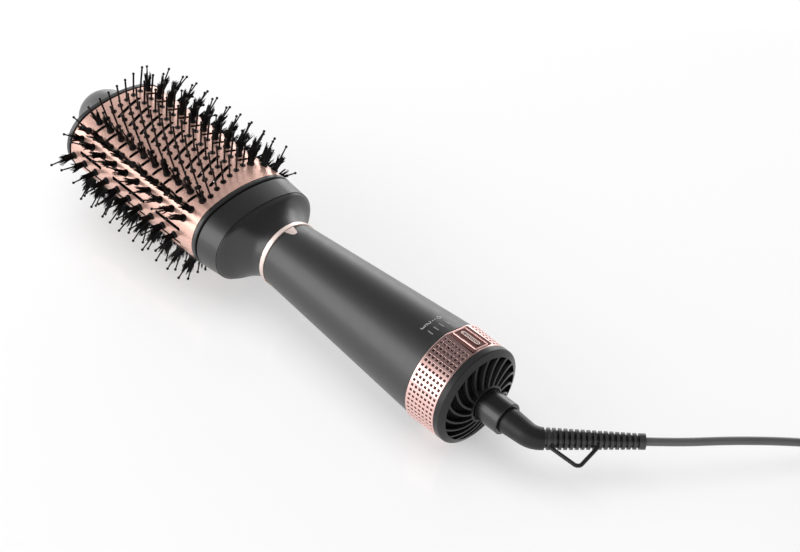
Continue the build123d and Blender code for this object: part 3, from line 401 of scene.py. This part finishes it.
def tuft(shape, place, draw):
    """Knob on the barrel, a bundle of bristles that frays into clumps, and a long ball-tip pin."""
    shape.turned(KNOB, 12, place)
    bundle = place @ lean(draw, TUFT_LEAN)
    shape.turned(BUNDLE, 7, bundle)
    for clump in range(CLUMPS):
        heading = 2 * pi * (clump + draw.uniform(-CLUMP_WANDER, CLUMP_WANDER)) / CLUMPS
        reach = draw.uniform(*CLUMP_REACH)
        tall = TUFT_LENGTH * draw.uniform(*CLUMP_HEIGHT)
        for _ in range(BRISTLES_PER_CLUMP):
            turn = heading + draw.gauss(0, ROOT_SCATTER)
            root = BRISTLE_ROOT_R * sqrt(draw.random())
            x0, y0 = root * cos(turn), root * sin(turn)
            x2 = reach * cos(heading) + draw.gauss(0, TIP_SCATTER)
            y2 = reach * sin(heading) + draw.gauss(0, TIP_SCATTER)
            length = tall * draw.uniform(*BRISTLE_HEIGHT)
            x1 = x0 + BEND_REACH * (x2 - x0) + draw.gauss(0, BEND_SCATTER)
            y1 = y0 + BEND_REACH * (y2 - y0) + draw.gauss(0, BEND_SCATTER)
            path = ((x0, y0, BRISTLE_ROOT_Z), (x1, y1, length * BEND_HEIGHT), (x2, y2, length))
            shape.strand(path, BRISTLE_RADII, bundle)
    shape.turned(tuft_pin_profile(), 8, place @ lean(draw, TUFT_PIN_LEAN))


def bristle_rows(name, replaced, flip, seed):
    draw = random.Random(seed)
    shape = Shape()
    under = Matrix.Translation((0, 0, -STRIP_DEPTH - STRIP_THICK / 2))
    row_length = (ROW_COUNT - 1) * ROW_PITCH
    for angle, last_x in NEAR_ROWS:
        for i in range(ROW_COUNT):
            tuft(shape, flip @ surface(last_x - i * ROW_PITCH, -angle), draw)
        middle = surface(last_x - row_length / 2, -angle)
        shape.box((row_length + 2 * STRIP_END, STRIP_WIDTH, STRIP_THICK), flip @ middle @ under)
    rows = shape.piece(name, "dryer_body", "black_bristle")
    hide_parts(replaced)


# ---------------------------------------------------------------- selector ring
DIMPLE_COLUMNS = 7
DIMPLE_PITCH = 2.42
DIMPLE_FIRST_X = -19.62
DIMPLE_SIDE = 1.45
DIMPLE_DEPTH = 0.9
DIMPLE_TAPER = 0.84         # a dimple's floor against its mouth
DIMPLE_ROWS = 55
SHADE_SHEET_FROM = 0.35          # share of a dimple's depth below which a dark sheet paints its shade
SHADE_SHEET_GAP = 0.02
KNURL_FROM = 17.5           # degrees either side of the pointer where the dimples stop
FACET_STEPS = 14
WORN_EDGE = 0.00012         # metres
WORN_EDGE_FROM = 40         # degrees
RING_SMOOTH_BELOW = 28


def ring_point(x, angle, radius):
    """Point on the ring, angle in degrees back from the pointer."""
    a = radians(SELECTOR_REST - angle)
    return (x, radius * sin(a), radius * cos(a))


def ring_outside(x, angle):
    """Radius of the ring's outside, cut flat by the facet under the pointer."""
    away = (angle + 180) % 360 - 180
    radius = cone_radius(x, RING_X, RING_R)
    if abs(away) < KNURL_FROM:
        radius = min(radius, FACET_HEIGHT / cos(radians(away)))
    return radius


def sunk(mouth, share, depth):
    """A dimple's mouth drawn in to a share of its size and sunk by depth."""
    x_mid = (mouth[0][0] + mouth[2][0]) / 2
    a_mid = (mouth[0][1] + mouth[2][1]) / 2
    return [ring_point(x_mid + (x - x_mid) * share, a_mid + (angle - a_mid) * share,
                       cone_radius(x, RING_X, RING_R) - depth) for x, angle in mouth]


def selector_ring():
    """Chromed ring with square dimples, and a flat facet under the pointer."""
    half = DIMPLE_SIDE / 2
    xs = [RING_X[0] + RING_CHAMFER]
    for i in range(DIMPLE_COLUMNS):
        centre = DIMPLE_FIRST_X + i * DIMPLE_PITCH
        xs += [centre - half, centre + half]
    xs.append(RING_X[1] - RING_CHAMFER)
    pitch = (360 - 2 * KNURL_FROM) / DIMPLE_ROWS
    half_turn = degrees(half / RING_R[0])
    angles = []
    for j in range(DIMPLE_ROWS):
        centre = KNURL_FROM + (j + 0.5) * pitch
        angles += [centre - pitch / 2, centre - half_turn, centre + half_turn]
    angles += [360 - KNURL_FROM + 2 * KNURL_FROM * k / FACET_STEPS for k in range(FACET_STEPS)]
    count = len(angles)

    start, end = RING_X
    rows = [(start, [RING_BORE_R] * count), (start, [ring_outside(start, a) - RING_CHAMFER for a in angles])]
    first_outside_row = len(rows)
    rows += [(x, [ring_outside(x, a) for a in angles]) for x in xs]
    rows += [(end, [ring_outside(end, a) - RING_CHAMFER for a in angles]), (end, [RING_BORE_R] * count)]
    points = [ring_point(x, angle, radius) for x, radii in rows for angle, radius in zip(angles, radii)]
    faces = []
    pit_shade_sheets = Shape()
    for number, corners in enumerate(band_faces(len(rows), count, closed=True)):
        row, k = divmod(number, count)
        column = row - first_outside_row
        if not (0 <= column < len(xs) - 1 and column % 2 == 1 and k < 3 * DIMPLE_ROWS and k % 3 == 1):
            faces.append(corners)
            continue
        mouth = ((xs[column], angles[k]), (xs[column], angles[k + 1]), (xs[column + 1], angles[k + 1]),
                 (xs[column + 1], angles[k]))
        floor = tuple(range(len(points), len(points) + 4))
        points += sunk(mouth, DIMPLE_TAPER, DIMPLE_DEPTH)
        for c in range(4):
            d = (c + 1) % 4
            faces.append((corners[c], corners[d], floor[d], floor[c]))
        faces.append(floor)
        # dark sheet over each dimple's lower walls and floor: painted shade
        shade_sheet = sunk(mouth, 1 - (1 - DIMPLE_TAPER) * SHADE_SHEET_FROM - SHADE_SHEET_GAP, DIMPLE_DEPTH * SHADE_SHEET_FROM)
        shade_sheet += sunk(mouth, DIMPLE_TAPER - SHADE_SHEET_GAP, DIMPLE_DEPTH - SHADE_SHEET_GAP)
        pit_shade_sheets.add(shade_sheet, band_faces(2, 4) + [(4, 5, 6, 7)])
    pit_shade_sheets.piece("selector_ring_pit_shade", "selector", "pit_shadow")
    shape = Shape()
    shape.add(points, faces)
    ring = shape.piece("selector_ring_knurled", "selector", "rose_gold_chrome",
                       RING_SMOOTH_BELOW)
    bevel = ring.modifiers.new("worn edges", "BEVEL")
    bevel.width = WORN_EDGE
    bevel.segments = 2
    bevel.limit_method = "ANGLE"
    bevel.angle_limit = radians(WORN_EDGE_FROM)
    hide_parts("selector_ring")


# ---------------------------------------------------------------- pointer
# sizes are along the product, across it and up from the facet; heights are above the facet
POINTER_X = -12.6
FRAME_OUTSIDE = (16.2, 9.2)
FRAME_INSIDE = (15.0, 8.0)
FRAME_CORNER_R = 0.9
FRAME_EDGE = 0.18
FRAME_BOTTOM = -0.2
FRAME_TOP = 0.6
FRAME_SMOOTH_BELOW = 50
INLAY_SIZE = (16.6, 13.6, 0.1)
INLAY_HEIGHT = 0.02
SLOT_SIZE = (10.6, 1.56, 0.06)
SLOT_HEIGHT = 0.47
RIB_COUNT = 9
RIB_PITCH = 0.98
RIB_SIZE = (0.3, 1.5, 0.22)
RIB_HEIGHT = 0.54
RIB_SLANT = 20              # degrees
RIBS_FORWARD = 0.75
DOT_R = 0.55
DOT_RISE = 0.3
DOT_SINK = 0.1
DOT_BACK = 4.75
DOT_HEIGHT = 0.5


def rounded_frame(shape, place):
    """Raised frame with rounded corners."""
    steps = 6

    def outline(size, r, z):
        points = []
        for sx, sy, start in ((1, 1, 0), (-1, 1, 90), (-1, -1, 180), (1, -1, 270)):
            for k in range(steps + 1):
                a = radians(start + 90 * k / steps)
                points.append((sx * (size[0] / 2 - r) + r * cos(a), sy * (size[1] / 2 - r) + r * sin(a), z))
        return points

    outer, inner, outer_r = FRAME_OUTSIDE, FRAME_INSIDE, FRAME_CORNER_R
    inner_r = max(0.2, outer_r - (outer[0] - inner[0]) / 2)
    thin = (outer[0] - 2 * FRAME_EDGE, outer[1] - 2 * FRAME_EDGE)
    wide = (inner[0] + 2 * FRAME_EDGE, inner[1] + 2 * FRAME_EDGE)
    shoulder = FRAME_TOP - FRAME_EDGE
    rows = [outline(outer, outer_r, FRAME_BOTTOM), outline(outer, outer_r, shoulder),
            outline(thin, outer_r - FRAME_EDGE, FRAME_TOP), outline(wide, inner_r + FRAME_EDGE, FRAME_TOP),
            outline(inner, inner_r, shoulder), outline(inner, inner_r, FRAME_BOTTOM)]
    shape.add([p for row in rows for p in row], band_faces(len(rows), len(rows[0]), closed=True), place)


def pointer_window():
    """Frame and dark inlay on the facet round the pointer, and the slot, ribs and dot on the pointer."""
    turn = Matrix.Rotation(radians(-SELECTOR_REST), 4, "X")
    middle = turn @ Matrix.Translation((POINTER_X, 0, FACET_HEIGHT))

    def at(x, z):
        return middle @ Matrix.Translation((x, 0, z))

    window = Shape()
    rounded_frame(window, middle)
    window.piece("pointer_window", "selector", "rose_gold_chrome", FRAME_SMOOTH_BELOW)
    inlay = Shape()
    inlay.box(INLAY_SIZE, at(0, INLAY_HEIGHT))
    inlay.piece("pointer_inlay", "selector", "facet_brown")
    # the slot is a dark sheet under the ribs: painted shade
    slot = Shape()
    slot.box(SLOT_SIZE, at(0, SLOT_HEIGHT))
    slot.piece("pointer_slot", "selector", "pit_shadow")
    ribs = Shape()
    for i in range(RIB_COUNT):
        x = RIBS_FORWARD + RIB_PITCH * (i - (RIB_COUNT - 1) / 2)
        ribs.box(RIB_SIZE, at(x, RIB_HEIGHT) @ Matrix.Rotation(radians(RIB_SLANT), 4, "Z"))
    dome = [(DOT_R * cos(radians(a)), DOT_RISE * sin(radians(a))) for a in (0, 25, 50, 72, 87)]
    ribs.turned([(DOT_R, -DOT_SINK)] + dome, 14, at(-DOT_BACK, DOT_HEIGHT))
    ribs.piece("pointer_ribs", "selector", "pointer_chrome")


# ---------------------------------------------------------------- rear cap
DOME_R = 55.0
DOME_EDGE = (0.8, 26.2)     # X and radius of the dome's rim
DOME_WALL = 2.0
SCREEN_GAP = 0.25           # below the grille
SCREEN_PITCH = 0.95
SCREEN_WIRE = 0.3
SCREEN_WEAVE = 0.09
SCREEN_R = (11.4, 23.1)
SHORTEST_WIRE = 0.5


def dome_x(radius, inset):
    centre_x = DOME_EDGE[0] - sqrt(DOME_R**2 - DOME_EDGE[1]**2)
    return centre_x + sqrt((DOME_R - inset)**2 - radius**2)


def intake_screen():
    """Woven wire screen under the grille."""
    shape = Shape()
    inset = DOME_WALL + SCREEN_GAP
    half = SCREEN_WIRE / 2
    reach = int(SCREEN_R[1] / SCREEN_PITCH)

    def wire(across, i, a, b):
        steps = max(2, round((b - a) / SCREEN_PITCH))
        points = []
        for k in range(steps + 1):
            t = a + (b - a) * k / steps
            weave = SCREEN_WEAVE * (1 if (k + i + across) % 2 else -1)
            for du, dx in ((-half, -half), (half, -half), (half, half), (-half, half)):
                off = i * SCREEN_PITCH + du
                y, z = (t, off) if across else (off, t)
                radius = min(SCREEN_R[1], sqrt(y * y + z * z))
                points.append((dome_x(radius, inset) + dx + weave, y, z))
        shape.add(points, band_faces(steps + 1, 4))

    for across in (False, True):
        for i in range(-reach, reach + 1):
            off = i * SCREEN_PITCH
            run = sqrt(max(0.0, SCREEN_R[1]**2 - off**2))
            gap = sqrt(max(0.0, SCREEN_R[0]**2 - off**2))
            for a, b in [(-run, -gap), (gap, run)] if gap > 0 else [(-run, run)]:
                if b - a >= SHORTEST_WIRE:
                    wire(across, i, a, b)
    screen = shape.piece("intake_screen_mesh", "dryer_body", "screen")
    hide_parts("intake_screen")


# ---------------------------------------------------------------- numbers beside the selector
DIGIT_X = -33.9
DIGIT_SIZE = 4.2            # of the type, which stands 3 mm high
DIGIT_LIFT = 0.03
INK_THICKNESS = 0.00004     # metres


def selector_digits():
    """Plain numbers 0 to 3 printed on the grip, one at each tick."""
    shape = Shape()
    for i in range(4):
        curve = bpy.data.curves.new(f"digit_{i}", "FONT")
        curve.body = str(i)
        curve.size = DIGIT_SIZE
        curve.align_x = "CENTER"
        curve.align_y = "CENTER"
        text = bpy.data.objects.new(f"digit_{i}", curve)
        bpy.context.scene.collection.objects.link(text)
        bpy.context.view_layer.update()
        mesh = bpy.data.meshes.new_from_object(text.evaluated_get(bpy.context.evaluated_depsgraph_get()))
        points = []
        for vertex in mesh.vertices:
            x = DIGIT_X + vertex.co.x
            radius = cone_radius(x, HANDLE_X, HANDLE_R) + DIGIT_LIFT
            a = radians(SELECTOR_REST - SELECTOR_STEP * i) + vertex.co.y / radius
            points.append((x, radius * sin(a), radius * cos(a)))
        shape.add(points, [tuple(p.vertices) for p in mesh.polygons])
        bpy.data.objects.remove(text)
        bpy.data.curves.remove(curve)
        bpy.data.meshes.remove(mesh)
    digits = shape.piece("selector_digits", "dryer_body", "white_ink")
    thick = digits.modifiers.new("ink", "SOLIDIFY")
    thick.thickness = INK_THICKNESS


# ---------------------------------------------------------------- the free cord
CORD_R = 0.0021             # metres; the routes are in millimetres
LEAD_ROUTE = ((190.64, 34.68, 22.53), (205.74, 50.63, 21.34), (219.1, 68.3, 19.9), (233.5, 86.4, 17.5),
              (246.1, 103.3, 13.4), (258.0, 118.2, 7.6), (268.7, 130.1, 2.8), (278.6, 139.8, 2.15))
TAIL_ROUTE = ((330.85, 117.8, 14.7), (331.3, 107.8, 14.4), (332.9, 97.8, 13.15), (333.1, 87.8, 13.0))
COIL_CENTRE = (300.1, 117.8)
COIL_TURN_R = (19.7, 30.75)
COIL_LAYERS = 4
COIL_TURNS = 10
COIL_LOWEST_Z = 2.15
COIL_MIDDLE_Z = 8.4
LAYER_PITCH = 4.18
CLIMB_TURNS = 0.16          # over which the cord climbs from one layer to the next
POINTS_PER_TURN = 16
TIE_ANGLE = -90.0
TIE_SQUEEZE = 0.06          # by which the tie draws the turns together,
TIE_REACH = 13              # and over how many degrees


def coil_points():
    """Turns of the put-away length, clockwise from the lead's end, in and out again, layer on layer."""
    entry = degrees(atan2(LEAD_ROUTE[-1][1] - COIL_CENTRE[1], LEAD_ROUTE[-1][0] - COIL_CENTRE[0]))
    turns = COIL_TURNS + entry / 360
    inner, outer = COIL_TURN_R
    middle_r = (inner + outer) / 2
    steps = round(turns * POINTS_PER_TURN)
    rise = CLIMB_TURNS / (turns / COIL_LAYERS)
    points = []
    for k in range(1, steps):
        share = k / steps * COIL_LAYERS
        layer = min(int(share), COIL_LAYERS - 1)
        along = share - layer
        radius = outer + (inner - outer) * (along if layer % 2 == 0 else 1 - along)
        climb = min(1.0, max(0.0, (along - 1 + rise) / rise)) if layer < COIL_LAYERS - 1 else 0.0
        z = COIL_LOWEST_Z + LAYER_PITCH * (layer + climb * climb * (3 - 2 * climb))
        angle = entry - 360 * turns * k / steps
        off = (angle - TIE_ANGLE + 180) % 360 - 180
        squeeze = 1 - TIE_SQUEEZE * exp(-(off / TIE_REACH)**2)
        radius = middle_r + (radius - middle_r) * squeeze
        z = COIL_MIDDLE_Z + (z - COIL_MIDDLE_Z) * squeeze
        x, y = COIL_CENTRE
        points.append((x + radius * cos(radians(angle)), y + radius * sin(radians(angle)), z))
    return points


def cord():
    route = [*LEAD_ROUTE, *coil_points(), *TAIL_ROUTE]
    curve = bpy.data.curves.new("power_cord", "CURVE")
    curve.dimensions = "3D"
    spline = curve.splines.new("NURBS")
    spline.points.add(len(route) - 1)
    for point, (x, y, z) in zip(spline.points, route):
        point.co = (x / 1000, y / 1000, z / 1000, 1)
    spline.order_u = 3
    spline.use_endpoint_u = True
    spline.resolution_u = 6
    curve.bevel_depth = CORD_R
    curve.bevel_resolution = 5
    curve.use_fill_caps = True
    obj = finish_piece(bpy.data.objects.new("power_cord", curve), "swivel", "cord_black")
    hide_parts("cord_tube", "cord_coil", "cord_tail")


# ---------------------------------------------------------------- studio, in metres
# place, target, size, power, and whether reflections show the lamp
LAMPS = {
    "softbox_left": ((-0.73, -0.98, 0.46), (0, 0, 0.05), (1.7, 0.86), 7.8, True),
    "softbox_far": ((-0.85, 1.25, 0.30), (0, 0, 0.05), (1.8, 0.6), 5.6, True),
    "overhead": ((0.0, 0.1, 1.7), (0, 0, 0), (1.8, 1.4), 18.5, False),
}

CEILING_MIDDLE = (0.22, 0.18, 0.96)         # direction of the middle of the studio's dark ceiling
CEILING_STOPS = ((0.42, (1, 1, 1)), (0.68, (0.18, 0.18, 0.185)))

FLOOR_REACH = 6.0
FLOOR_COLOUR = (0.93, 0.93, 0.93, 1)
FLOOR_ROUGHNESS = 0.14
FLOOR_LIFT = 0.45           # share of plain white in the floor where it is seen

CAMERA_PLACE = (0.50113, -0.40905, 0.56828)
CAMERA_RIGHT = (0.69032, 0.72347, -0.00717)
CAMERA_UP = (-0.45946, 0.44600, 0.76811)
CAMERA_BACK = (0.55890, -0.52694, 0.64028)
CAMERA_LENS = 71.57         # millimetres, on a sensor as wide as SENSOR_WIDTH
SENSOR_WIDTH = 36


def area_light(name, place, target, size, power, glossy):
    data = bpy.data.lights.new(name, "AREA")
    data.shape = "RECTANGLE"
    data.size, data.size_y = size
    data.energy = power
    lamp = bpy.data.objects.new(name, data)
    bpy.context.scene.collection.objects.link(lamp)
    lamp.location = place
    lamp.rotation_mode = "QUATERNION"
    lamp.rotation_quaternion = (Vector(target) - Vector(place)).to_track_quat("-Z", "Y")
    lamp.visible_glossy = glossy


def world():
    """White horizon under a darker ceiling, as the black plastic in the photograph reflects them."""
    studio = bpy.data.worlds.new("studio")
    bpy.context.scene.world = studio
    studio.use_nodes = True
    tree = studio.node_tree
    where = node(tree, "TexCoord").outputs["Generated"]
    height = node(tree, "VectorMath", {0: where, 1: CEILING_MIDDLE}, operation="DOT_PRODUCT")
    tree.links.new(ramp(tree, height.outputs["Value"], CEILING_STOPS), tree.nodes["Background"].inputs["Color"])


def floor_material():
    """Glossy white sheet, lifted towards white where it is seen, straight, in a reflection or through glass."""
    material = bpy.data.materials.new("white_floor")
    material.use_nodes = True
    tree = material.node_tree
    shader = tree.nodes["Principled BSDF"]
    shader.inputs["Base Color"].default_value = FLOOR_COLOUR
    shader.inputs["Roughness"].default_value = FLOOR_ROUGHNESS
    glow = node(tree, "Emission", {"Strength": 1.0})
    rays = node(tree, "LightPath").outputs
    seen = rays["Is Camera Ray"]
    for kind in ("Is Glossy Ray", "Is Transmission Ray"):
        seen = node(tree, "Math", {0: seen, 1: rays[kind]}, operation="MAXIMUM").outputs["Value"]
    lift = node(tree, "Math", {0: seen, 1: FLOOR_LIFT}, operation="MULTIPLY")
    mix = node(tree, "MixShader", {"Fac": lift.outputs["Value"], 1: shader.outputs["BSDF"],
                                   2: glow.outputs["Emission"]})
    tree.links.new(mix.outputs["Shader"], tree.nodes["Material Output"].inputs["Surface"])
    return material


def floor():
    mesh = bpy.data.meshes.new("floor")
    corners = [(x * FLOOR_REACH, y * FLOOR_REACH, 0) for x, y in ((-1, -1), (1, -1), (1, 1), (-1, 1))]
    mesh.from_pydata(corners, [], [(0, 1, 2, 3)])
    plane = bpy.data.objects.new("floor", mesh)
    bpy.context.scene.collection.objects.link(plane)
    mesh.materials.append(floor_material())


def camera():
    data = bpy.data.cameras.new("camera")
    data.sensor_width = SENSOR_WIDTH
    data.lens = CAMERA_LENS
    data.clip_start = 0.01
    obj = bpy.data.objects.new("camera", data)
    bpy.context.scene.collection.objects.link(obj)
    turn = Matrix((CAMERA_RIGHT, CAMERA_UP, CAMERA_BACK)).transposed()
    obj.rotation_mode = "QUATERNION"
    obj.rotation_quaternion = turn.to_quaternion()
    obj.location = CAMERA_PLACE
    bpy.context.scene.camera = obj


def studio():
    bpy.context.scene.view_settings.view_transform = "Standard"
    world()
    floor()
    for name, settings in LAMPS.items():
        area_light(name, *settings)
    camera()


dress_cad_nodes()
bristle_rows("near_tufts", "near_bristle_rows", Matrix.Identity(4), 11)
bristle_rows("far_tufts", "far_bristle_rows", HALF_TURN, 12)
selector_ring()
pointer_window()
intake_screen()
selector_digits()
cord()
studio()
